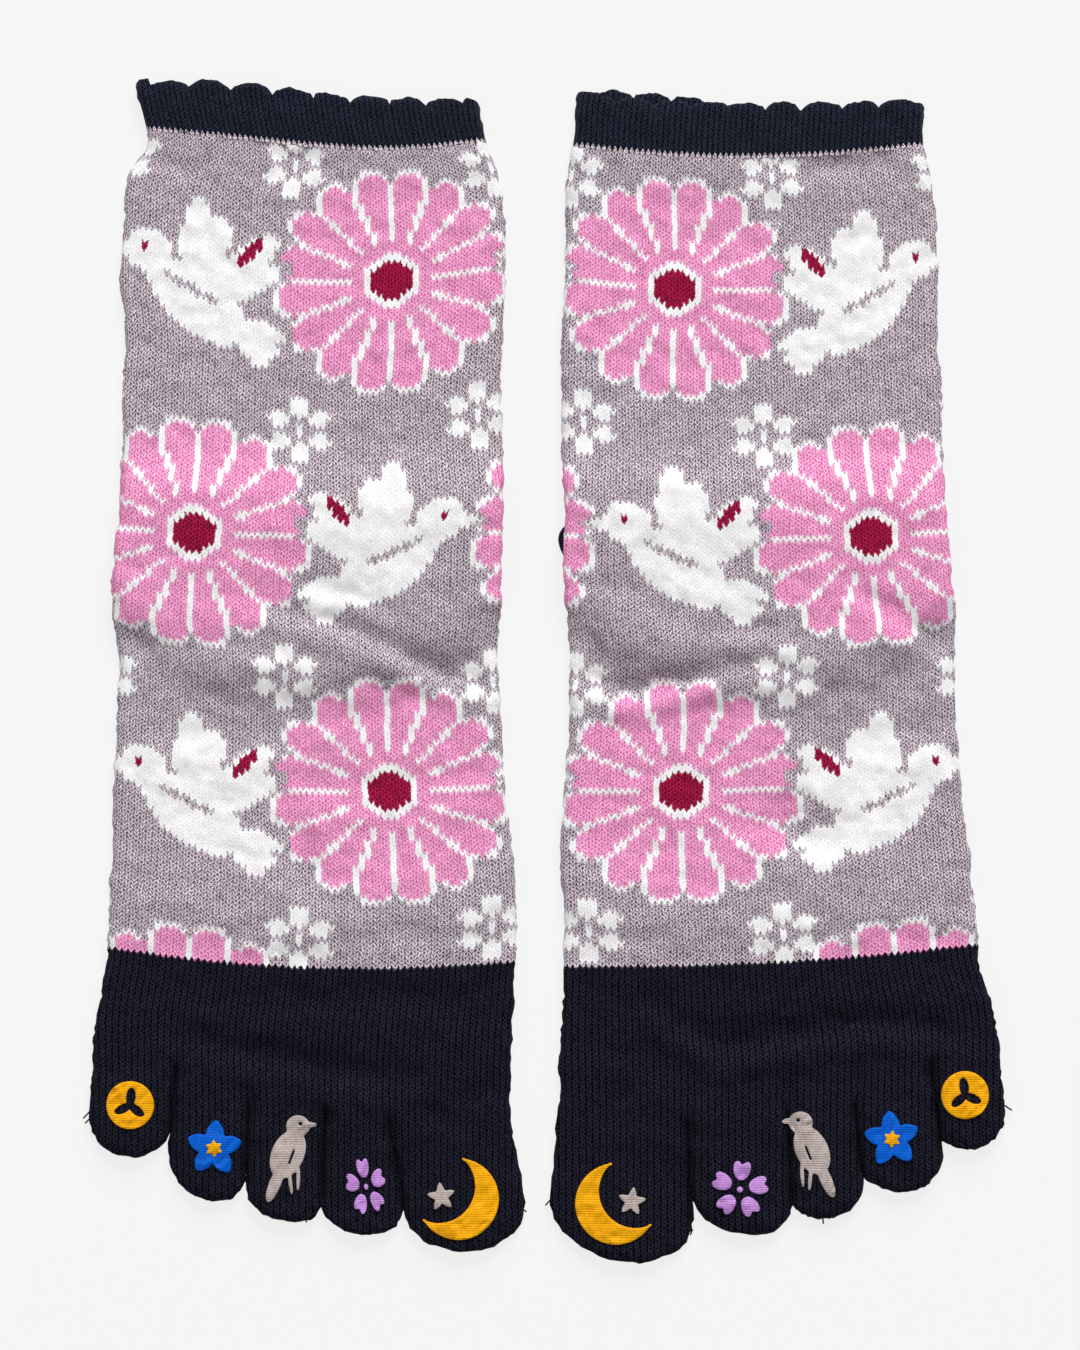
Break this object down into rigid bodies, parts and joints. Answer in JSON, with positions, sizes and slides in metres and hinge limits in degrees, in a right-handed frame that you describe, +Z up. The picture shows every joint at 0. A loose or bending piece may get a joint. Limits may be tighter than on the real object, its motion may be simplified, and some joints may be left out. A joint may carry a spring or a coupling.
{
  "type": "pair of toe socks",
  "caption": "Mid-calf knitted socks with separate toe pockets, laid flat face up side by side: scalloped cuff, patterned tube, plain forefoot, heel pouch flat underneath.",
  "frame": {"origin": "centre of the laid pair's footprint, on the surface that it lies on", "axes": "+Y from the toes to the cuffs, along the socks' length; +X to the right seen from above; +Z up, out of the fronts of the socks"},
  "size_m": [0.2295, 0.2956, 0.0071],
  "materials": {
    "navy_knit": "matt fine knit, near-black navy, slightly fuzzy",
    "patterned_knit": "matt jacquard knit, lilac-grey ground with pink, white and crimson motifs",
    "embroidery_thread": "satin-stitched rayon thread with a soft sheen, gold, blue, grey and lilac"
  },
  "bodies": {
    "root": {"left_cuff": "navy_knit", "left_leg_foot": "patterned_knit", "left_heel": "navy_knit", "left_toe_section": "navy_knit", "right_cuff": "navy_knit", "right_leg_foot": "patterned_knit", "right_heel": "navy_knit", "right_toe_section": "navy_knit"}
  },
  "joints": []
}
